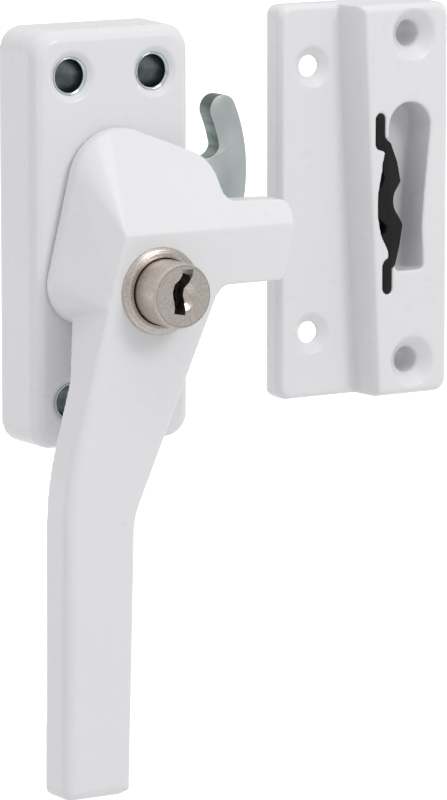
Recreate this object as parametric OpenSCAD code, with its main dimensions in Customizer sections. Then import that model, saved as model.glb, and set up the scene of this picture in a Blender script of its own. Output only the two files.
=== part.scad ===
// Lockable casement-window fastener: base, swinging handle with security hook,
// push lock with key core, and the strike that the hook runs into.
// X to the right, Y into the sash, Z up. Origin: centre of the base's mounting face.

/* [Base] */
// Width of the base across the stile
base_w = 34.8; // [28:0.5:44]
// Height of the base along the stile
base_h = 79.8; // [66:1:96]
// How much lower the front's lower edge lies than the back's
base_lean = 0.3; // [0:0.1:1.5]
// Depth of the base from mounting face to front face
base_d = 13; // [12:0.5:16]
// Corner radius of the base outline
base_corner_r = 4.5; // [2:0.5:7]
// Wall thickness of the base casting
base_wall = 2.6; // [2:0.1:3.5]
// Thickness of the base's front wall
base_front_t = 3; // [2.5:0.1:4]
// Thickness of the steel back plate
plate_t = 1.5; // [1:0.1:2]

/* [Base screws] */
// Hole spacing across the base
screw_sx = 18; // [14:0.5:22]
// Hole spacing along the base
screw_sz = 62; // [50:1:76]
// Radius inside a screw sleeve
sleeve_in_r = 2.9; // [2.2:0.1:3.1]
// Wall of a screw sleeve
sleeve_wall = 0.35; // [0.3:0.05:0.6]
// Countersink radius at the base's face
base_sink_r = 4.85; // [4:0.05:5.5]
// Depth of the sleeve's end below the base's face
sleeve_recess = 1.2; // [1:0.1:2]

/* [Pivot and hook] */
// Height of the pivot above the base's centre
pivot_z = 10.5; // [6:0.5:16]
// Radius of the spindle's round journal
journal_r = 6; // [5:0.25:7]
// Side of the spindle's square
spindle_sq = 8; // [6:0.5:9]
// Outer radius of the hook's arc about the pivot
hook_out_r = 32.2; // [29:0.1:38]
// Radial width of the hook's arc
hook_band = 5.7; // [5:0.1:8]
// Thickness of the hook plate
hook_t = 4; // [3:0.25:4.25]
// Angle of the hook's tip above level
hook_tip_deg = 29.5; // [22:0.5:40]
// Height of the arm's upper edge above the pivot
hook_arm_up = 2.5; // [1:0.5:5]
// Depth of the arm's lower edge below the pivot
hook_arm_down = 7; // [5:0.5:9]

/* [Handle] */
// Front plane of the handle, measured from the mounting face
handle_front = 30; // [28:0.1:34]
// Radius of the hub's top about the pivot
hub_top_r = 10.5; // [9:0.1:13]
// Radius of the hub's two lower corners
hub_low_r = 8.1; // [6:0.1:10]
// Sideways offset of the hub's lower corner centres
hub_low_x = 7; // [5:0.5:9]
// Thickness of the hub's skirt
skirt_t = 2.6; // [2:0.1:4]
// Drop of the lever's end below the pivot
lever_len = 114.7; // [95:0.5:135]
// Width of the lever's grip
lever_w = 14.4; // [11:0.5:16]
// Thickness of the lever's grip
lever_t = 8.4; // [7:0.2:10]
// Sideways offset of the grip's centre line, away from the strike
lever_off = 13.3; // [8:0.5:16]
// Reach of the nose beyond the pivot
nose_reach = 30.3; // [24:0.1:34]
// Height of the nose
nose_h = 15.3; // [12:0.5:17]
// Thickness of the nose
nose_t = 9; // [7:0.5:12]
// Undercut of the nose's end towards its lower edge
nose_lean = 2.7; // [0:0.1:4]

/* [Lock] */
// Drop of the lock's axis below the pivot
lock_drop = 18.7; // [17:0.1:22]
// Radius of the lock's ring
ring_r = 8.3; // [7.5:0.1:9]
// Radius of the lock's barrel
barrel_r = 6.2; // [5.5:0.1:6.4]
// Barrel standing proud of the ring when released
barrel_proud = 7.1; // [6:0.1:9]
// Push travel that locks the handle
push_travel = 5; // [4:0.25:6]
// Radius of the key core's head
core_head_r = 5.7; // [5:0.1:5.8]
// Height of the keyway
key_h = 8.6; // [7:0.1:8.8]
// Width of the keyway
key_w = 2.4; // [1.6:0.1:2.6]
// Gap round the barrel at the ring's lip
lip_gap = 0.8; // [0.3:0.1:1]
// Lip standing proud of the ring's edge
lip_up = 0.2; // [0:0.1:2]

/* [Strike] */
// Width of the strike
strike_w = 34.8; // [30:0.5:44]
// Height of the strike
strike_h = 77.5; // [66:0.2:92]
// How far the outline's middle lies below the middle of the holes
strike_drop = 0.35; // [0:0.05:2]
// Thickness of the strike's flange
flange_t = 5.2; // [4.5:0.1:6.5]
// Depth of the strike's raised part
raised_t = 12.8; // [11.5:0.1:15]
// Gap from the base's side to the strike's flange
strike_gap = 24.6; // [20:0.2:40]
// Height of the strike's centre above the base's centre
strike_cz = 2.7; // [-4:0.1:12]
// Spacing of the flange's screw holes
flange_hole_s = 52.4; // [44:0.2:58]
// Radius of the flange's screw holes
flange_hole_r = 2.05; // [1.6:0.05:2.3]
// Spacing of the raised part's screw holes
raised_hole_s = 64.5; // [56:0.5:68]
// Radius of the raised part's screw holes
raised_hole_r = 2.55; // [2:0.05:2.8]
// Wall of the hollow strike casting
strike_wall = 2.5; // [2:0.1:3]
// Lean of the step along the strike's height
step_lean = 5; // [0:0.1:6]

/* [Fits] */
// Running clearance round a turning or sliding shaft
run_gap = 0.05; // [0.02:0.01:0.1]
// Clearance between parts placed face to face
seat_gap = 0.05; // [0.03:0.01:0.1]
// Gap between the handle's skirt and the base's face
skirt_gap = 0.3; // [0.2:0.05:0.5]
// Facets on round pieces
round_fn = 64; // [32:8:96]

/* [Hidden] */
$fn = round_fn;
slab = 0.02;
over = 0.5;
front_y = -base_d;
inner_y = front_y + base_front_t;
plate_y = -plate_t;
sleeve_out_r = sleeve_in_r + sleeve_wall;
boss_r = sleeve_out_r + 2.05;
skirt_back_y = front_y - skirt_gap;
skirt_front_y = skirt_back_y - skirt_t;
handle_y = -handle_front;
lock_z = pivot_z - lock_drop;
hub_low_z = lock_z + 0.15;
front_top_z = lock_z + 10.8;
slope = (pivot_z + hub_top_r - front_top_z) / (skirt_front_y - handle_y);
nose_low_z = lock_z;
shoulder_x = hub_top_r + 6.3;
shoulder_r = 4.9;
nose_top_z = nose_low_z + nose_h;
neck_back_y = skirt_front_y - 1;
nose_back_y = handle_y + nose_t;
lever_back_y = handle_y + lever_t;
lever_end_z = pivot_z - lever_len;
bush_flange_t = 0.8;
wave_t = 0.6;
hook_front_y = inner_y + bush_flange_t + wave_t + seat_gap;
hook_back_y = hook_front_y + hook_t;
washer_t = 1;
washer_y = hook_back_y + seat_gap;
head_y = washer_y + washer_t;
screw_head_t = plate_y - 0.3 - head_y;
bush_wall = 2.1;
bush_r = journal_r + run_gap + bush_wall;
ring_t = 1.3;
ring_front_y = handle_y - ring_t;
lip_y = ring_front_y - lip_up;
sleeve_r = ring_r - 0.9;
guide_r = barrel_r + run_gap;
barrel_front_y = ring_front_y - barrel_proud;
barrel_len = 14.7;
barrel_back_y = barrel_front_y + barrel_len;
bolt_r = 1.4;
bolt_tip_y = skirt_back_y - 0.3;
bolt_head_t = 1.8;
spring_wire_r = 0.3;
lock_floor_y = skirt_back_y - 1.6;
stop_r = 0.8;
stop_y = barrel_back_y - 1.5;
core_r = core_head_r - 1.5;
clip_r = core_r + 0.9;
core_head_t = 1.6;
core_back_y = barrel_back_y - 3;
clip_t = 0.6;
strike_x0 = base_w / 2 + strike_gap;
strike_x1 = strike_x0 + strike_w;
strike_z0 = strike_cz - strike_drop - strike_h / 2;
strike_z1 = strike_z0 + strike_h;
flange_hole_x = strike_x0 + 7.4;
raised_hole_x = strike_x1 - 8.8;
foot_mid_x = strike_x0 + 15;
slot_x = raised_hole_x - 0.7;
slot_top_z = strike_cz + 14.2;
slot_low_z = strike_cz - 14.2;
slot_r = 4.8;
spring_x = slot_x - 5.9;
slit_w = 2;
spring_back_y = -raised_t + 7.8;
pocket_floor_t = 1.8;
pocket_w = 2 * slot_r + 8.4;
pocket_h = slot_top_z - slot_low_z + 2 * slot_r + 2;

// ---- shared drawing helpers ----

// an outline in X and Z, swept from depth y_back forward to y_front
module sweep_y(y_back, y_front) {
    translate([0, y_back, 0]) rotate([90, 0, 0]) linear_extrude(y_back - y_front) children();
}

// a cylinder along Y from depth y_back forward to y_front
module rod_y(r, y_back, y_front, x = 0, z = 0) {
    translate([x, y_back, z]) rotate([90, 0, 0]) cylinder(r = r, h = y_back - y_front);
}

// a cone along Y, radius r_back at y_back and r_front at y_front
module cone_y(r_back, r_front, y_back, y_front, x = 0, z = 0) {
    translate([x, y_back, z]) rotate([90, 0, 0]) cylinder(r1 = r_back, r2 = r_front, h = y_back - y_front);
}

// a rounded rectangle outline about a centre
module plate2d(w, h, r, cx = 0, cz = 0) {
    translate([cx, cz]) {
        square([w - 2 * r, h], center = true);
        square([w, h - 2 * r], center = true);
        for (sx = [-1, 1], sz = [-1, 1]) translate([sx * (w / 2 - r), sz * (h / 2 - r)]) circle(r = r);
    }
}

// points on an arc about a centre
function arc(cx, cz, r, a0, a1, n) = [for (i = [0:n]) let (a = a0 + (a1 - a0) * i / n)
    [cx + r * cos(a), cz + r * sin(a)]];

module at_screws() {
    for (sx = [-1, 1], sz = [-1, 1]) translate([sx * screw_sx / 2, 0, sz * screw_sz / 2]) children();
}

// ---- base ----

module base_casting() color("white") {
    edge = 2.4;
    front_h = base_h - 0.6 + base_lean;
    slot_low = pivot_z - sqrt(pow(hook_out_r, 2) - pow(base_w / 2 - base_wall, 2)) - 1;
    slot_high = pivot_z + hook_arm_up + 1;
    difference() {
        hull() {
            sweep_y(0, -slab) plate2d(base_w, base_h, base_corner_r);
            translate([0, 0, -base_lean / 2]) {
                sweep_y(front_y + edge + 0.6, front_y + edge)
                    plate2d(base_w - 0.6, front_h, base_corner_r);
                sweep_y(front_y + edge * 0.3 + slab, front_y + edge * 0.3)
                    plate2d(base_w - 0.6 - edge * 0.6, front_h - edge * 0.6, base_corner_r - 0.4);
                sweep_y(front_y + slab, front_y)
                    plate2d(base_w - 0.6 - edge * 1.6, front_h - edge * 1.6, base_corner_r - 1);
            }
        }
        difference() {
            sweep_y(over, inner_y)
                plate2d(base_w - 2 * base_wall, base_h - 2 * base_wall, base_corner_r - base_wall / 2);
            at_screws() rod_y(boss_r, plate_y - seat_gap, inner_y - over);
        }
        at_screws() {
            rod_y(sleeve_out_r + seat_gap, over, front_y + sleeve_recess - slab);
            cone_y(sleeve_out_r + seat_gap, base_sink_r, front_y + sleeve_recess, front_y - slab);
        }
        rod_y(bush_r + seat_gap, over, front_y - over, 0, pivot_z);
        rod_y(bolt_r + 0.3, over, front_y - over, 0, lock_z);
        translate([base_w / 2 - base_wall - over, hook_front_y - 0.8, slot_low])
            cube([base_wall + 2 * over, -hook_front_y + 0.8 + over, slot_high - slot_low]);
    }
}

module back_plate() color("silver") difference() {
    sweep_y(0, plate_y) plate2d(base_w - 2 * base_wall - 2 * seat_gap,
        base_h - 2 * base_wall - 2 * seat_gap, base_corner_r - base_wall / 2);
    at_screws() rod_y(sleeve_out_r + seat_gap, over, plate_y - over);
}

module screw_sleeves() color("silver") at_screws() difference() {
    rod_y(sleeve_out_r, 0, front_y + sleeve_recess);
    rod_y(sleeve_in_r, over, front_y + sleeve_recess - over);
}

module spindle_bush() color("ivory") difference() {
    union() {
        rod_y(bush_r, inner_y + bush_flange_t, front_y + seat_gap, 0, pivot_z);
        rod_y(bush_r + 1.9, inner_y + bush_flange_t, inner_y + seat_gap, 0, pivot_z);
    }
    rod_y(journal_r + run_gap, 0, front_y - over, 0, pivot_z);
}

// ---- handle ----

module skirt2d() {
    hull() {
        translate([0, pivot_z]) circle(r = hub_top_r);
        for (sx = [-1, 1]) translate([sx * hub_low_x, hub_low_z]) circle(r = hub_low_r);
    }
}

// shoulder and nose outline, from the hub's crown to the nose's end
module nose2d() {
    top = pivot_z + hub_top_r;
    end_r = 1.9;
    low_r = 1.1;
    draft = 0.3;
    polygon(concat(
        [[0, nose_low_z], [0, top - 0.3], [3, top - 0.4]],
        arc(shoulder_x - shoulder_r, pivot_z + 1, shoulder_r, 66, 0, 6),
        arc(shoulder_x + 2, nose_top_z + 1.9, 1.9, 180, 270, 5),
        arc(nose_reach - end_r, nose_top_z - draft - end_r, end_r, 90, -5, 5),
        arc(nose_reach - nose_lean - low_r, nose_low_z + low_r, low_r, -12, -90, 5)));
}

// lever outline: fillet under the nose, slanting neck, bend, and straight grip
module lever2d() {
    left = -lever_off - lever_w / 2;
    right = -lever_off + lever_w / 2;
    end_r = 1.7;
    fillet_r = 3;
    taper = 1.25;
    bend_z = lock_z - 45.8;
    polygon(concat(
        arc(hub_low_x + 8.5, nose_low_z - fillet_r, fillet_r, 90, 156, 5),
        arc(right + taper / 2 + 14, bend_z, 14, 156, 178, 6),
        arc(right - taper / 2 - end_r, lever_end_z + end_r, end_r, 0, -90, 5),
        arc(left + end_r, lever_end_z + end_r, end_r, -90, -180, 5),
        arc(left + 60.4, bend_z + 1, 60, 180, 165.5, 6),
        [[-10.3, hub_low_z], [-9, hub_low_z + 5], [hub_low_x + 8.5, hub_low_z + 5]]));
}

module handle_casting() color("white") {
    difference() {
        union() {
            // hub, lofted from its skirt to the lock's flat face
            hull() {
                sweep_y(skirt_back_y, skirt_front_y) skirt2d();
                sweep_y(handle_y + slab, handle_y) polygon([[-7.2, front_top_z], [9, front_top_z],
                    [10.4, lock_z - 5], [-11, lock_z - 3], [-10.3, hub_low_z]]);
            }
            // shoulder and nose under the same sloping crown
            intersection() {
                sweep_y(neck_back_y, handle_y) nose2d();
                sweep_x(-1, nose_reach + 1) polygon([
                    [neck_back_y + 1, nose_low_z - 1], [handle_y, nose_low_z - 1],
                    [handle_y, front_top_z], [handle_y + 30 / slope, front_top_z + 30],
                    [neck_back_y + 1, front_top_z + 30]]);
                // the shoulder's back steps forward to the nose's thickness
                translate([0, 0, nose_low_z - 1]) linear_extrude(hub_top_r + nose_h + 30) polygon([
                    [-1, handle_y - 1], [nose_reach + 1, handle_y - 1], [nose_reach + 1, nose_back_y],
                    [shoulder_x + 2, nose_back_y], [shoulder_x - 1, neck_back_y + 1], [-1, neck_back_y + 1]]);
            }
            // lever, its back rising from the hub to the grip's thickness
            intersection() {
                sweep_y(neck_back_y, handle_y) lever2d();
                sweep_x(-lever_off - lever_w, nose_reach) polygon([
                    [handle_y, lever_end_z - 1], [handle_y, lock_z + 8], [neck_back_y, lock_z + 8],
                    [neck_back_y, lock_z - 5], [lever_back_y, lock_z - 17], [lever_back_y, lever_end_z - 1]]);
            }
        }
        // square socket for the spindle
        translate([-spindle_sq / 2 - seat_gap, skirt_back_y - socket_d(),
                   pivot_z - spindle_sq / 2 - seat_gap])
            cube([spindle_sq + 2 * seat_gap, socket_d() + over, spindle_sq + 2 * seat_gap]);
        // lock housing bore, barrel bore and bolt hole
        rod_y(sleeve_r + seat_gap, stop_y + 2.6, handle_y - over, 0, lock_z);
        rod_y(guide_r + 0.15, lock_floor_y, handle_y - over, 0, lock_z);
        rod_y(bolt_r + run_gap, over, lock_floor_y - over, 0, lock_z);
    }
}

// how deep the spindle's square sits in the hub
function socket_d() = 5;

// a profile in Y and Z, swept from x0 to x1
module sweep_x(x0, x1) {
    translate([x0, 0, 0]) rotate([90, 0, 90]) linear_extrude(x1 - x0) children();
}

module spindle() color("silver") difference() {
    union() {
        // one square in the handle's socket and one in the hook, with the journal between them
        translate([-spindle_sq / 2, skirt_back_y - socket_d() + seat_gap, pivot_z - spindle_sq / 2])
            cube([spindle_sq, socket_d() - seat_gap + slab, spindle_sq]);
        translate([-spindle_sq / 2, hook_front_y - seat_gap - slab, pivot_z - spindle_sq / 2])
            cube([spindle_sq, washer_y - hook_front_y + slab, spindle_sq]);
        rod_y(journal_r, hook_front_y - seat_gap, skirt_back_y, 0, pivot_z);
    }
    rod_y(2.15, over, skirt_back_y - 2, 0, pivot_z);
}

module wave_washer() color("silver") difference() {
    union() {
        rod_y(journal_r + 2.6, hook_front_y - seat_gap, hook_front_y - seat_gap - 0.3, 0, pivot_z);
        cone_y(journal_r + 2.6, journal_r + 1.4, hook_front_y - seat_gap - 0.3,
            inner_y + bush_flange_t + seat_gap / 2, 0, pivot_z);
    }
    rod_y(journal_r + run_gap, 0, front_y, 0, pivot_z);
}

module hook2d() {
    in_r = hook_out_r - hook_band;
    tip_r = hook_band / 2;
    mid_r = hook_out_r - tip_r;
    throat = 2.8;
    difference() {
        union() {
            intersection() {
                difference() {
                    circle(r = hook_out_r);
                    circle(r = in_r);
                }
                polygon([[0, 0], [2 * hook_out_r, 0],
                    [2 * hook_out_r * cos(hook_tip_deg - 6), 2 * hook_out_r * sin(hook_tip_deg - 6)]]);
            }
            translate([mid_r * cos(hook_tip_deg - 6), mid_r * sin(hook_tip_deg - 6)]) circle(r = tip_r);
            circle(r = hook_arm_down + 1.8);
            intersection() {
                translate([0, -hook_arm_down]) square([hook_out_r, hook_arm_up + hook_arm_down]);
                circle(r = hook_out_r);
            }
            difference() {
                translate([in_r - throat, hook_arm_up - slab]) square([throat, throat]);
                translate([in_r - throat - 0.35, hook_arm_up + throat]) circle(r = throat);
            }
        }
        square([spindle_sq + 2 * seat_gap, spindle_sq + 2 * seat_gap], center = true);
    }
}

module security_hook() color("slategray")
    translate([0, 0, pivot_z]) sweep_y(hook_back_y, hook_front_y) hook2d();

module hook_washer() color("silver") difference() {
    rod_y(journal_r + 2, head_y - seat_gap, washer_y, 0, pivot_z);
    rod_y(2.6, over, washer_y - over, 0, pivot_z);
}

module spindle_screw() color("silver") difference() {
    union() {
        rod_y(2.1, head_y, skirt_back_y - 1, 0, pivot_z);
        rod_y(4.4, head_y + screw_head_t, head_y, 0, pivot_z);
    }
    for (a = [0, 90]) translate([0, head_y + screw_head_t, pivot_z]) rotate([0, a, 0])
        cube([4.6, 1.8, 0.9], center = true);
}

// ---- lock ----

module lock_ring() color("tan") difference() {
    union() {
        rod_y(ring_r, handle_y - seat_gap, ring_front_y, 0, lock_z);
        cone_y(ring_r, guide_r + lip_gap + 0.3, ring_front_y + slab, lip_y, 0, lock_z);
        rod_y(sleeve_r, stop_y + 2.5, handle_y - seat_gap - slab, 0, lock_z);
    }
    rod_y(guide_r, 0, lip_y - over, 0, lock_z);
    rod_y(guide_r + lip_gap, lip_y + 2, lip_y - over, 0, lock_z);
    translate([0, stop_y, lock_z]) rotate([0, 90, 0]) cylinder(r = stop_r + 0.02, h = ring_r);
}

module lock_barrel() color("tan") difference() {
    union() {
        rod_y(barrel_r, barrel_back_y, barrel_front_y + 0.7, 0, lock_z);
        cone_y(barrel_r, core_head_r + run_gap + 0.1, barrel_front_y + 0.7, barrel_front_y, 0, lock_z);
    }
    rod_y(core_r + run_gap, 0, barrel_front_y - over, 0, lock_z);
    rod_y(core_head_r + run_gap, barrel_front_y + core_head_t + seat_gap, barrel_front_y - over, 0, lock_z);
    rod_y(clip_r + 0.1, over, core_back_y - clip_t - 0.6, 0, lock_z);
    // groove that the stop pin runs in
    translate([barrel_r - 0.9, stop_y - push_travel - stop_r - 0.05, lock_z - stop_r - 0.05])
        cube([barrel_r, push_travel + 2 * stop_r + 0.1, 2 * stop_r + 0.1]);
}

module stop_pin() color("silver")
    translate([barrel_r - 0.8, stop_y, lock_z]) rotate([0, 90, 0])
        cylinder(r = stop_r, h = sleeve_r - barrel_r + 0.7);

module return_spring() color("silver") {
    coils = 4;
    mean_r = bolt_r + 2.3;
    y0 = lock_floor_y - spring_wire_r - seat_gap;
    y1 = barrel_back_y + spring_wire_r + seat_gap;
    for (i = [0:coils]) translate([0, y0 + (y1 - y0) * i / coils, lock_z]) rotate([90, 0, 0])
        rotate_extrude() translate([mean_r, 0]) circle(r = spring_wire_r, $fn = 16);
    for (i = [0:coils - 1]) translate([0, y0 + (y1 - y0) * (i + 0.5) / coils, lock_z])
        rotate([0, i * 180, 0]) translate([mean_r, 0, 0]) rotate([90, 0, 0])
            cylinder(r = spring_wire_r * 0.9, h = (y0 - y1) / coils, center = true, $fn = 16);
}

module locking_bolt() color("silver") {
    rod_y(bolt_r, bolt_tip_y, barrel_back_y - bolt_head_t, 0, lock_z);
    rod_y(clip_r, barrel_back_y, barrel_back_y - bolt_head_t, 0, lock_z);
}

// wavy keyway outline, its middle a little above the lock's axis
module keyway2d() {
    w = key_w / 2;
    h = key_h / 2;
    translate([0, 0.7]) polygon([
        [1 + w, h], [0.8 + w, h * 0.7], [-0.75 + w, h * 0.13], [-0.95 + w, -h * 0.13],
        [-0.6 + w, -h * 0.45], [-0.8 + w, -h], [-0.8 - w, -h * 0.9], [-0.5 - w, -h * 0.4],
        [-0.95 - w, h * 0.04], [-0.7 - w, h * 0.38], [0.4 - w, h * 0.57], [1 - w, h * 0.78],
        [1.1 - w, h]]);
}

module wafer_places() {
    for (i = [0:4]) translate([0, barrel_front_y + core_head_t + 1.5 + 1.5 * i, lock_z]) children();
}

module key_core() color("tan") difference() {
    union() {
        rod_y(core_head_r, barrel_front_y + core_head_t, barrel_front_y, 0, lock_z);
        rod_y(core_r, core_back_y, barrel_front_y, 0, lock_z);
    }
    // dished face
    cone_y(1.6, 2.8, barrel_front_y + 0.6, barrel_front_y - slab, 0, lock_z);
    translate([0, 0, lock_z]) sweep_y(core_back_y - clip_t - 1, barrel_front_y - over) intersection() {
        keyway2d();
        circle(r = core_head_r - 0.3);
    }
    wafer_places() {
        translate([-0.05, 0, 0]) cube([4.3, 0.9, 2 * core_r - 1.2], center = true);
        translate([1.8, -0.45, 1.22]) cube([core_r, 0.9, 0.76]);
        translate([2.75, 0, 0]) cylinder(r = 0.62, h = 2.6, center = true, $fn = 24);
    }
    difference() {
        rod_y(core_r + over, core_back_y - 0.4, core_back_y - 0.4 - clip_t - 0.1, 0, lock_z);
        rod_y(core_r - 0.7, 0, core_back_y - 3, 0, lock_z);
    }
}

module core_clip() color("silver") difference() {
    rod_y(clip_r, core_back_y - 0.45, core_back_y - 0.45 - clip_t, 0, lock_z);
    rod_y(core_r - 0.65, 0, core_back_y - 3, 0, lock_z);
    translate([-10, core_back_y - 2, lock_z - 1.4]) cube([10, 3, 2.8]);
}

// sprung wafers: a window for the key, and a side arm that sits on the spring
module wafers() color("gold") wafer_places() difference() {
    union() {
        translate([-0.05, 0, 0]) cube([4, 0.8, 2 * core_r - 1.3], center = true);
        translate([1.85, -0.4, 1.3]) cube([1.35, 0.8, 0.6]);
    }
    translate([-0.3, 0, 0]) cube([2.5, 1, 5.4], center = true);
}

module wafer_springs() color("silver") wafer_places()
    translate([2.75, 0, -1.1]) for (i = [0:4]) translate([0, 0, 0.55 * i])
        rotate_extrude() translate([0.42, 0]) circle(r = 0.15, $fn = 16);

// ---- strike ----

// raised part's outline: its left edge leans along the height
module raised2d(inset, x_top, x_low) {
    r = 2.2;
    x1 = strike_x1 - inset;
    z0 = strike_z0 + inset;
    z1 = strike_z1 - inset;
    polygon(concat([[x_top, z1]], arc(x1 - r, z1 - r, r, 90, 0, 6), arc(x1 - r, z0 + r, r, 0, -90, 6),
        [[x_low, z0]]));
}

module slot2d() {
    polygon(concat(
        arc(slot_x, slot_top_z, slot_r, 190, -10, 16),
        [[slot_x + 3.4, strike_cz + 1], [slot_x + 2.9, strike_cz - 6]],
        arc(slot_x + 2.3, slot_low_z + 1, 1, 0, -90, 4),
        arc(slot_x - 2.2, slot_low_z + 1, 1, -90, -150, 4),
        arc(slot_x + 14.6, strike_cz - 1, 21.9, 195, 167, 8)));
}

module at_raised_holes() {
    for (s = [-1, 1]) translate([raised_hole_x, 0, strike_cz + s * raised_hole_s / 2]) children();
}

module at_flange_holes() {
    for (s = [-1, 1]) translate([flange_hole_x, 0, strike_cz + s * flange_hole_s / 2]) children();
}

module strike_casting() color("white") {
    half = step_lean / 2;
    floor_y = -flange_t + 2.1;
    mid_x = (strike_x0 + strike_x1) / 2;
    mid_z = (strike_z0 + strike_z1) / 2;
    difference() {
        union() {
            hull() {
                sweep_y(0, -flange_t + 1.2)
                    plate2d(strike_w, strike_h, 2.2, mid_x, mid_z);
                sweep_y(-flange_t + slab, -flange_t)
                    plate2d(strike_w - 1.6, strike_h - 1.6, 1.8, mid_x, mid_z);
            }
            hull() {
                sweep_y(0, -slab) raised2d(0, foot_mid_x - half, foot_mid_x + half);
                sweep_y(-raised_t + 1.6, -raised_t + 1.5)
                    raised2d(0.2, foot_mid_x - half + 1.7, foot_mid_x + half + 0.4);
                sweep_y(-raised_t + slab, -raised_t)
                    raised2d(1.1, foot_mid_x - half + 2.4, foot_mid_x + half + 1);
            }
        }
        // hollow behind the flange
        sweep_y(over, floor_y) polygon([[strike_x0 + 2, strike_z0 + 2], [strike_x0 + 2, strike_z1 - 2],
            [foot_mid_x - half + 0.6, strike_z1 - 2], [foot_mid_x + half + 0.6, strike_z0 + 2]]);
        // hollow behind the raised part, round two screw bosses
        difference() {
            sweep_y(over, -raised_t + strike_wall) hollow2d(0);
            at_raised_holes() rod_y(raised_hole_r + 2.4, plate_y - seat_gap, -raised_t + strike_wall - over);
            // walls and floor of the hook's pocket
            sweep_y(spring_back_y + pocket_floor_t, -raised_t + strike_wall - over)
                plate2d(pocket_w, pocket_h, 2, slot_x - 1, strike_cz + 1);
        }
        sweep_y(spring_back_y + seat_gap, -raised_t - over) {
            slot2d();
            strike_spring2d(seat_gap);
        }
        at_raised_holes() {
            rod_y(raised_hole_r, over, -raised_t - over);
            cone_y(raised_hole_r, raised_hole_r * 2, -raised_t + raised_hole_r, -raised_t - slab);
        }
        at_flange_holes() {
            rod_y(flange_hole_r, over, -flange_t - over);
            cone_y(flange_hole_r, flange_hole_r * 2, -flange_t + 1.6, -flange_t - slab);
        }
    }
}

// inside outline of the raised part, its left side following the step
module hollow2d(inset) {
    x_top = foot_mid_x - step_lean / 2 + 4.2 + inset;
    x_low = foot_mid_x + step_lean / 2 + 2.9 + inset;
    x1 = strike_x1 - strike_wall - inset;
    z0 = strike_z0 + strike_wall + inset;
    z1 = strike_z1 - strike_wall - inset;
    polygon([[x_low, z0], [x_top, z1], [x1, z1], [x1, z0]]);
}

module strike_backing() color("silver") difference() {
    sweep_y(0, plate_y) hollow2d(seat_gap);
    at_raised_holes() rod_y(raised_hole_r, over, plate_y - over);
}

// plastic anti-rattle spring: a waved strip between two round-ended tongues;
// grow widens its seat in the casting
module strike_spring2d(grow) {
    x = spring_x;
    half = 2.6;
    r = slit_w / 2 + grow;
    ux = x - 0.9;
    uz = slot_top_z - 0.7;
    lx = x + 0.8;
    lz = slot_low_z - 0.75;
    m = strike_cz - 0.25;
    wall_x = slot_x + 14.6;
    wall_r = 21.9 - 2 * seat_gap + grow;
    polygon(concat(
        arc(ux, uz + half, r, 180, 0, 8),
        [[ux + r, uz - 1.2 + grow], [x + 1.5, m + 11.4 + grow], [x + 3, m + 7.7], [x + 3.8, m + 3.8]],
        arc(x + 6.1, m, 4, 139, 221, 8),
        [[x + 3.7, m - 3.6], [x + 4.3, m - 4.8], [x + 3.6, m - 9], [x + 2.6, m - 12.7 - grow],
         [lx + r, m - 13.3 - grow]],
        arc(lx, lz - half, r, 0, -180, 8),
        [[lx - r, m - 12.5], [x + 0.2 - grow, m - 11.7 + grow], [x + 1.2 - grow, m - 11.3 + grow],
         [x + 1.2 - grow, m - 9.8]],
        arc(wall_x, strike_cz - 1, wall_r, 197, 195.5, 1),
        [[x + 0.6, m - 5.9], [x + 0.7, m - 4.8], [x - 0.5, m - 3.8]],
        arc(wall_x, strike_cz - 1, wall_r, 186, 173, 5),
        [[x + 0.15, m + 4.5], [x - 0.45, m + 7], [x + 0.25 - grow, m + 9.5 - grow],
         [x + 0.1 - grow, m + 10 - grow],
         [ux - r + 0.5, m + 10.3 - grow], [ux - r, m + 11]]));
}

module strike_spring() color("black") sweep_y(spring_back_y, -raised_t + 0.1) strike_spring2d(0);

// ---- all of it, or one piece ----

base_casting();
back_plate();
screw_sleeves();
spindle_bush();
handle_casting();
spindle();
wave_washer();
security_hook();
hook_washer();
spindle_screw();
lock_ring();
lock_barrel();
stop_pin();
return_spring();
locking_bolt();
key_core();
core_clip();
wafers();
wafer_springs();
strike_casting();
strike_backing();
strike_spring();
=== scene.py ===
import math
import bmesh
import bpy
from mathutils import Matrix, Vector


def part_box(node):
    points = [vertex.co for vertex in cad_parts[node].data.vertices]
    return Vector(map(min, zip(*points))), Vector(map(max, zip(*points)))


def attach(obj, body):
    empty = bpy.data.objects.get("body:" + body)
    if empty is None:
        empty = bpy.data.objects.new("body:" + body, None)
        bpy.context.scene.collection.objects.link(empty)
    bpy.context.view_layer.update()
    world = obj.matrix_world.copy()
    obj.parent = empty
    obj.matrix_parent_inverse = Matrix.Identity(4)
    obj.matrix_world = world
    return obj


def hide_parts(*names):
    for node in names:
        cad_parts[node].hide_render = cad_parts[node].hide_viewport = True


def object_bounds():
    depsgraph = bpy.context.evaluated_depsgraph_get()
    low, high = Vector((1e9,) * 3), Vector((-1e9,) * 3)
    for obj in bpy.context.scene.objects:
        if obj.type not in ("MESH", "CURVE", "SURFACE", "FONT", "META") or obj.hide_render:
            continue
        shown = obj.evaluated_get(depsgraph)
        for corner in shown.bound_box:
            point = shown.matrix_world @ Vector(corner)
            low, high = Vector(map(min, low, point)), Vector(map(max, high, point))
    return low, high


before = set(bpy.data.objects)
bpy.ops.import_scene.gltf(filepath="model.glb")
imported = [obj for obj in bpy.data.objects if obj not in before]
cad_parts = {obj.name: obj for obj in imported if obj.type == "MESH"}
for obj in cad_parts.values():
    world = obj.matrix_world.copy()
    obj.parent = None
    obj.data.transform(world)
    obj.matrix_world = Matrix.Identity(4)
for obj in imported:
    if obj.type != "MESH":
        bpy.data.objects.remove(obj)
cad_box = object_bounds()

# ---- camera and studio ----
# A long lens a metre away, left of front and a little above, with the whole fastener in view.
# Soft light comes from above and in front; the sides stay a little darker, and the floor's painted glow starts
# only behind the fastener.
scene = bpy.context.scene
scene.view_settings.view_transform = "Standard"

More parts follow.
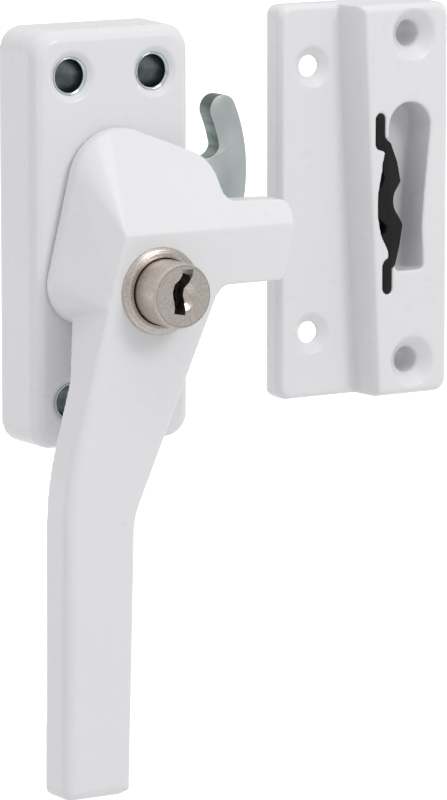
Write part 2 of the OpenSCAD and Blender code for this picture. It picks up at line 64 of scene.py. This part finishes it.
low = cad_box[0]
back_low, back_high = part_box("back_plate")
aim_from_plate = Vector((0.0207, -0.0182, -0.0323))
aim = (back_low + back_high) / 2 + aim_from_plate
camera_distance = 1.053
to_camera = Vector((-0.5157, -0.8406, 0.1659)).normalized()
to_right = Vector((0.8524, -0.5229, 0.0)).normalized()
to_top = to_camera.cross(to_right).normalized()
camera_data = bpy.data.cameras.new("camera")
camera_data.lens = 247.5
camera_data.sensor_width = 36
camera = bpy.data.objects.new("camera", camera_data)
scene.collection.objects.link(camera)
turn = Matrix((to_right, to_top, to_camera)).transposed().to_4x4()
camera.matrix_world = Matrix.Translation(aim + to_camera * camera_distance) @ turn
scene.camera = camera

# the floor is pale grey under the fastener and glows white behind it: painted light, its emission rising with
# distance behind the fastener
floor_drop = 0.25
floor_reach = 12
bm = bmesh.new()
bmesh.ops.create_grid(bm, x_segments=1, y_segments=1, size=floor_reach)
bmesh.ops.translate(bm, vec=(0, 0, low.z - floor_drop), verts=bm.verts)
floor_mesh = bpy.data.meshes.new("floor")
bm.to_mesh(floor_mesh)
bm.free()
floor = bpy.data.objects.new("floor", floor_mesh)
scene.collection.objects.link(floor)
floor_paint = bpy.data.materials.new("floor_paint")
floor_paint.use_nodes = True
nodes, links = floor_paint.node_tree.nodes, floor_paint.node_tree.links
paint = nodes["Principled BSDF"]
paint.inputs["Base Color"].default_value = (0.86, 0.86, 0.87, 1)
paint.inputs["Roughness"].default_value = 0.9
place = nodes.new("ShaderNodeTexCoord")
behind = nodes.new("ShaderNodeVectorMath")
behind.operation = "DOT_PRODUCT"
behind.inputs[1].default_value = (0.523, 0.852, 0)
# painted light: the floor's emission colour runs from black under the fastener to white behind it, so the floor
# glows though it is no lamp
floor_painted_glow = nodes.new("ShaderNodeMapRange")
floor_painted_glow.interpolation_type = "SMOOTHSTEP"
for socket, value in (("From Min", 0.15), ("From Max", 0.95), ("To Min", 0.0), ("To Max", 1.0)):
    floor_painted_glow.inputs[socket].default_value = value
links.new(place.outputs["Object"], behind.inputs[0])
links.new(behind.outputs["Value"], floor_painted_glow.inputs["Value"])
links.new(floor_painted_glow.outputs["Result"], paint.inputs["Emission Color"])
paint.inputs["Emission Strength"].default_value = 0.62
floor_mesh.materials.append(floor_paint)

world = bpy.data.worlds.new("soft_room")
world.use_nodes = True
nodes, links = world.node_tree.nodes, world.node_tree.links
way = nodes.new("ShaderNodeTexCoord")
height = nodes.new("ShaderNodeVectorMath")
height.operation = "DOT_PRODUCT"
height.inputs[1].default_value = (-0.25, 0.30, 0.85)
light = nodes.new("ShaderNodeMapRange")
for socket, value in (("From Min", -0.5), ("From Max", 1.0), ("To Min", 0.42), ("To Max", 0.92)):
    light.inputs[socket].default_value = value
links.new(way.outputs["Generated"], height.inputs[0])
links.new(height.outputs["Value"], light.inputs["Value"])
links.new(light.outputs["Result"], nodes["Background"].inputs["Strength"])
nodes["Background"].inputs["Color"].default_value = (1, 1, 1, 1)
scene.world = world


def soft_lamp(name, place, size, watts):
    """A square lamp at a place measured from the aim, turned towards it."""
    data = bpy.data.lights.new(name, "AREA")
    data.shape = "SQUARE"
    data.size = size
    data.energy = watts
    lamp = bpy.data.objects.new(name, data)
    scene.collection.objects.link(lamp)
    lamp.location = aim + Vector(place)
    lamp.rotation_euler = (-Vector(place)).to_track_quat("-Z", "Y").to_euler()


soft_lamp("lamp_overhead", (0.0, -0.35, 1.1), 0.5, 1.8)
soft_lamp("lamp_front", (0.2, -0.62, 0.45), 0.22, 1.5)
soft_lamp("lamp_right", (1.1, 0.25, 0.35), 0.5, 0.8)


# ---- base ----
# A hollow zinc casting with rounded front edges, powder coated gloss white.
# Four countersunk holes take wood screws; a slot in the right side lets the hook out.
def effect_group(name, makes):
    """A node group of two noises, read in metres: fine grain, and broad patches."""
    group = bpy.data.node_groups.new(name, "ShaderNodeTree")
    face = group.interface
    face.new_socket("Vector", in_out="INPUT", socket_type="NodeSocketVector")
    for socket, value in makes.items():
        face.new_socket(socket, in_out="INPUT", socket_type="NodeSocketFloat").default_value = value
    face.new_socket("Grain", in_out="OUTPUT", socket_type="NodeSocketFloat")
    face.new_socket("Patches", in_out="OUTPUT", socket_type="NodeSocketFloat")
    enter = group.nodes.new("NodeGroupInput")
    leave = group.nodes.new("NodeGroupOutput")
    for socket, scale, detail in (("Grain", "Grain Scale", 3), ("Patches", "Patch Scale", 2)):
        noise = group.nodes.new("ShaderNodeTexNoise")
        noise.inputs["Detail"].default_value = detail
        group.links.new(enter.outputs["Vector"], noise.inputs["Vector"])
        group.links.new(enter.outputs[scale], noise.inputs["Scale"])
        group.links.new(noise.outputs["Fac"], leave.inputs[socket])
    return group


surface_detail = effect_group("surface_detail", {"Grain Scale": 900.0, "Patch Scale": 60.0})


def finish_material(name, light, dark, rough, metal=0.0, coat=0.0, coat_rough=0.1, specular=0.5,
                    grain=900, patches=60, depth=0.00001, stretch=(1, 1, 1), spread=(0.25, 0.75)):
    """A finish with its own grain: colour and gloss drift in patches, and the grain stands up as relief."""
    material = bpy.data.materials.new(name)
    material.use_nodes = True
    nodes, links = material.node_tree.nodes, material.node_tree.links
    shader = nodes["Principled BSDF"]
    shader.inputs["Metallic"].default_value = metal
    shader.inputs["Coat Weight"].default_value = coat
    shader.inputs["Coat Roughness"].default_value = coat_rough
    shader.inputs["Specular IOR Level"].default_value = specular
    place = nodes.new("ShaderNodeTexCoord")
    mapping = nodes.new("ShaderNodeMapping")
    mapping.inputs["Scale"].default_value = stretch
    detail = nodes.new("ShaderNodeGroup")
    detail.node_tree = surface_detail
    detail.inputs["Grain Scale"].default_value = grain
    detail.inputs["Patch Scale"].default_value = patches
    links.new(place.outputs["Object"], mapping.inputs["Vector"])
    links.new(mapping.outputs["Vector"], detail.inputs["Vector"])
    even = nodes.new("ShaderNodeMapRange")
    even.interpolation_type = "SMOOTHSTEP"
    even.inputs["From Min"].default_value = spread[0]
    even.inputs["From Max"].default_value = spread[1]
    links.new(detail.outputs["Patches"], even.inputs["Value"])
    colour = nodes.new("ShaderNodeMix")
    colour.data_type = "RGBA"
    colour.inputs["A"].default_value = (*dark, 1)
    colour.inputs["B"].default_value = (*light, 1)
    links.new(even.outputs["Result"], colour.inputs["Factor"])
    links.new(colour.outputs["Result"], shader.inputs["Base Color"])
    gloss = nodes.new("ShaderNodeMapRange")
    gloss.inputs["To Min"].default_value = rough[0]
    gloss.inputs["To Max"].default_value = rough[1]
    links.new(detail.outputs["Grain"], gloss.inputs["Value"])
    links.new(gloss.outputs["Result"], shader.inputs["Roughness"])
    relief = nodes.new("ShaderNodeBump")
    relief.inputs["Strength"].default_value = 1.0
    relief.inputs["Distance"].default_value = depth
    links.new(detail.outputs["Grain"], relief.inputs["Height"])
    links.new(relief.outputs["Normal"], shader.inputs["Normal"])
    return material


white_coat = finish_material("white_powder_coat", (0.795, 0.795, 0.81), (0.775, 0.775, 0.79), (0.2, 0.42),
                             coat=0.2, coat_rough=0.06, specular=0.3, grain=260, patches=35,
                             depth=0.000003, spread=(0.1, 0.9))


def merged_copy(node):
    """The CAD node's shape as clean faces, ready for its edges to be worked."""
    bm = bmesh.new()
    bm.from_mesh(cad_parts[node].data)
    bmesh.ops.remove_doubles(bm, verts=bm.verts, dist=1e-6)
    bmesh.ops.dissolve_limit(bm, angle_limit=math.radians(0.6), verts=bm.verts, edges=bm.edges)
    return bm


def round_over(bm, width, wanted):
    """Rounds over the edges that wanted picks by the two faces' normals and the edge's middle."""
    chosen = []
    for edge in bm.edges:
        if len(edge.link_faces) == 2:
            middle = (edge.verts[0].co + edge.verts[1].co) / 2
            one, two = (face.normal for face in edge.link_faces)
            if wanted(one, two, middle) or wanted(two, one, middle):
                chosen.append(edge)
    bmesh.ops.bevel(bm, geom=chosen, offset=width, offset_type="OFFSET", segments=6, profile=0.5,
                    affect="EDGES", clamp_overlap=False, material=-1)


def put_in(bm, name, body, node, slot, *materials):
    """Makes the finished piece that stands for a CAD node and rides with its body."""
    mesh = bpy.data.meshes.new(name)
    bm.to_mesh(mesh)
    bm.free()
    piece = bpy.data.objects.new(name, mesh)
    scene.collection.objects.link(piece)
    for material in materials:
        mesh.materials.append(material)
    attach(piece, body)
    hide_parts(node)
    return piece


def cast_skin(piece, voxel, passes):
    """Gives a casting its poured skin, with every edge eased by the metal and its coat."""
    materials = list(piece.data.materials)
    remesh = piece.modifiers.new("skin", "REMESH")
    remesh.mode = "VOXEL"
    remesh.voxel_size = voxel
    ease = piece.modifiers.new("eased_edges", "SMOOTH")
    ease.factor = 0.5
    ease.iterations = passes
    depsgraph = bpy.context.evaluated_depsgraph_get()
    eased = bpy.data.meshes.new_from_object(piece.evaluated_get(depsgraph))
    piece.modifiers.clear()
    piece.data = eased
    eased.shade_smooth()
    eased.materials.clear()
    for material in materials:
        eased.materials.append(material)


skin_voxel = 0.00034
base_shell = put_in(merged_copy("base_casting"), "base_shell", "base", "base_casting", "white_base", white_coat)
cast_skin(base_shell, skin_voxel, 4)


# ---- screw sleeves ----
# Four thin steel tubes, zinc plated, flared into the countersinks to carry the screws;
# each is drawn by spinning its profile.
def spun(profile, middle, steps=56):
    """A ring from a closed profile of (radius, depth) points, turned about an axis along Y."""
    bm = bmesh.new()
    verts = [bm.verts.new((radius, depth, 0)) for radius, depth in profile]
    edges = [bm.edges.new((verts[i - 1], verts[i])) for i in range(len(verts))]
    bmesh.ops.spin(bm, geom=verts + edges, cent=(0, 0, 0), axis=(0, 1, 0), angle=math.tau,
                   steps=steps, use_merge=True)
    bmesh.ops.remove_doubles(bm, verts=bm.verts, dist=1e-7)
    bmesh.ops.recalc_face_normals(bm, faces=bm.faces)
    bmesh.ops.translate(bm, vec=middle, verts=bm.verts)
    return bm


def joined(parts):
    """Several meshes as one."""
    whole = bmesh.new()
    for part in parts:
        mesh = bpy.data.meshes.new("part")
        part.to_mesh(mesh)
        part.free()
        whole.from_mesh(mesh)
        bpy.data.meshes.remove(mesh)
    return whole


sleeve_low, sleeve_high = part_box("screw_sleeves")
sleeve_out = 0.00325
sleeve_in = 0.0029
lip = 0.0005
reach_x = sleeve_high.x - sleeve_out
reach_z = sleeve_high.z - sleeve_out
mouth = sleeve_low.y
sleeve_profile = [(sleeve_out, sleeve_high.y), (sleeve_in, sleeve_high.y), (sleeve_in, mouth + 0.0004),
                  (sleeve_in + 0.00012, mouth), (sleeve_in + 0.0004, mouth - lip * 0.8),
                  (sleeve_out + lip * 0.5, mouth - lip * 0.95), (sleeve_out + lip * 0.75, mouth - lip * 0.8),
                  (sleeve_out + lip * 0.6, mouth - lip * 0.45), (sleeve_out, mouth + 0.0001)]
bright_zinc = finish_material("bright_zinc", (0.72, 0.80, 0.82), (0.50, 0.58, 0.60), (0.12, 0.3), metal=1.0,
                              grain=900, patches=420, depth=0.000006)
# painted shade: the faces inside each sleeve's bore get a near-black zinc that stands in for the shade down the
# tube
bore_painted_shade = finish_material("sleeve_bore_painted_shade", (0.075, 0.115, 0.11), (0.02, 0.032, 0.03), (0.3, 0.5), metal=1.0,
                            grain=1500, patches=260, depth=0.000006)
sleeves = joined([spun(sleeve_profile, (x, 0, z)) for x in (-reach_x, reach_x) for z in (-reach_z, reach_z)])
for face in sleeves.faces:
    centre = face.calc_center_median()
    spoke = Vector((abs(centre.x) - reach_x, 0, abs(centre.z) - reach_z))
    face.smooth = True
    # faces inside the bore take the painted shade
    if spoke.length < sleeve_in + 0.0001 and centre.y > mouth - 0.0001:
        face.material_index = 1
put_in(sleeves, "screw_eyelets", "base", "screw_sleeves", "zinc_plate", bright_zinc, bore_painted_shade)


# ---- base inner metal ----
# Zinc-plated back plate let into the base, and the acetal bush that the spindle turns in.
def dress(material, *nodes):
    """Puts a finish on CAD nodes that keep their own shape."""
    for name in nodes:
        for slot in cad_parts[name].material_slots:
            slot.material = material


zinc = finish_material("zinc_plating", (0.55, 0.60, 0.61), (0.42, 0.48, 0.49), (0.25, 0.5), metal=1.0,
                       grain=1500, patches=120, depth=0.000004)
dress(zinc, "back_plate", "hook_washer")
acetal = finish_material("acetal", (0.84, 0.83, 0.79), (0.80, 0.79, 0.75), (0.4, 0.5), grain=900, patches=80)
dress(acetal, "spindle_bush")

# ---- handle ----
# One zinc casting, powder coated gloss white: round skirt, hub with a sloping crown, nose and lever.
# The lever's grip is rounded well over on its left and at its end, and less on its right.
lever_top = -0.016
left_round = 0.0022
right_round = 0.0007
handle_block = merged_copy("handle_casting")
round_over(handle_block, left_round, lambda front, side, at: front.y < -0.95 and at.z < lever_top
           and (side.x < -0.5 or side.z < -0.6))
round_over(handle_block, right_round, lambda front, side, at: front.y < -0.95 and at.z < lever_top
           and side.x > 0.5)
handle_shell = put_in(handle_block, "handle_shell", "handle", "handle_casting", "white_handle", white_coat)
cast_skin(handle_shell, skin_voxel, 5)


# ---- spindle and hook ----
# Turned steel spindle and screw; the security hook is blanked from steel plate and zinc plated,
# so its sheared edges are rougher than its faces; their darker colour is painted shade.
def broken_edges(node, width, angle=35, rows=2):
    """A copy of a turned or blanked piece with its sharp edges broken."""
    bm = merged_copy(node)
    sharp = [edge for edge in bm.edges
             if len(edge.link_faces) == 2 and edge.calc_face_angle(0) > math.radians(angle)]
    bmesh.ops.bevel(bm, geom=sharp, offset=width, offset_type="OFFSET", segments=rows, profile=0.5,
                    affect="EDGES", clamp_overlap=True, material=-1)
    bmesh.ops.recalc_face_normals(bm, faces=bm.faces)
    for face in bm.faces:
        face.smooth = True
    for edge in bm.edges:
        if len(edge.link_faces) == 2 and edge.calc_face_angle(0) > math.radians(50):
            edge.smooth = False
    return bm


steel = finish_material("turned_steel", (0.55, 0.55, 0.56), (0.47, 0.47, 0.49), (0.25, 0.4), metal=1.0,
                        grain=1200, patches=150, depth=0.000003)
dress(steel, "spindle", "spindle_screw", "stop_pin", "locking_bolt")
spring_steel = finish_material("spring_steel", (0.42, 0.42, 0.45), (0.33, 0.33, 0.36), (0.25, 0.4), metal=1.0,
                               grain=1500, patches=200, depth=0.000003)
dress(spring_steel, "wave_washer", "return_spring", "core_clip", "wafer_springs")
hook_zinc = finish_material("hook_zinc", (0.66, 0.70, 0.69), (0.46, 0.51, 0.50), (0.25, 0.5), metal=1.0,
                            grain=900, patches=130, depth=0.000008, stretch=(1, 1, 0.45))
# painted shade: the hook's side faces get a dark zinc that stands in for the shade on the plate's edges; only
# their rougher gloss belongs to the sheared steel
sheared_edge_painted_shade = finish_material("hook_sheared_edge_painted_shade", (0.34, 0.40, 0.38), (0.11, 0.15, 0.14), (0.3, 0.6),
                               metal=1.0, grain=700, patches=260, depth=0.00003, stretch=(1, 0.3, 1))
hook = broken_edges("security_hook", 0.0003)
# side faces, those not facing along Y, take the painted edge shade
for face in hook.faces:
    if abs(face.normal.y) < 0.5:
        face.material_index = 1
put_in(hook, "hook_plate", "handle", "security_hook", "zinc_hook", hook_zinc, sheared_edge_painted_shade)

# ---- lock ----
# Turned brass ring, push barrel and key core, satin nickel plated, with brass wafers inside.
# The collar has a dished face and a broken outer edge; the plating is slightly pebbled.
nickel = finish_material("satin_nickel", (0.68, 0.62, 0.57), (0.50, 0.45, 0.41), (0.2, 0.46), metal=1.0,
                         grain=4200, patches=3600, depth=0.000008, spread=(0.3, 0.7))
ring_low, ring_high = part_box("lock_ring")
ring_r = (ring_high.x - ring_low.x) / 2
barrel_low, barrel_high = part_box("lock_barrel")
barrel_r = (barrel_high.x - barrel_low.x) / 2
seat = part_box("handle_casting")[0].y
lock_axis = (0, 0, (barrel_low.z + barrel_high.z) / 2)
neck_r = ring_r - 0.0009
bore_r = barrel_r + 0.0001
mouth_r = barrel_r + 0.00022
collar_profile = [(neck_r, ring_high.y), (bore_r, ring_high.y), (bore_r, seat + 0.0012),
                  (mouth_r, seat + 0.0006), (mouth_r, seat - 0.00115), (mouth_r + 0.0002, seat - 0.0013),
                  (neck_r, seat - 0.00128), (ring_r - 0.00078, seat - 0.0012),
                  (ring_r - 0.0007, seat - 0.00095), (ring_r - 0.0006, seat - 0.0009),
                  (ring_r - 0.00015, seat - 0.0007), (ring_r, seat - 0.0005), (ring_r, seat), (neck_r, seat)]
collar = spun(collar_profile, lock_axis, steps=72)
for face in collar.faces:
    face.smooth = True
for edge in collar.edges:
    edge.smooth = len(edge.link_faces) < 2 or edge.calc_face_angle(0) < math.radians(42)
put_in(collar, "lock_collar", "handle", "lock_ring", "satin_nickel", nickel)
dress(nickel, "lock_barrel", "key_core")
dark_brass = finish_material("wafer_brass", (0.10, 0.075, 0.04), (0.05, 0.04, 0.022), (0.35, 0.5), metal=1.0)
dress(dark_brass, "wafers")

# ---- strike ----
# A hollow zinc casting, powder coated gloss white, with a steel plate let into its back
# and a black plastic spring, moulded as a waved strip, that stops the hook rattling.
strike_shell = put_in(merged_copy("strike_casting"), "strike_shell", "strike", "strike_casting", "white_strike",
                      white_coat)
cast_skin(strike_shell, skin_voxel, 4)
dress(zinc, "strike_backing")
black_plastic = finish_material("black_plastic", (0.010, 0.010, 0.011), (0.006, 0.006, 0.007), (0.35, 0.55),
                                specular=0.25, grain=900, patches=150, depth=0.000006)
put_in(broken_edges("strike_spring", 0.0002, angle=60), "rattle_spring", "strike", "strike_spring",
       "black_plastic", black_plastic)
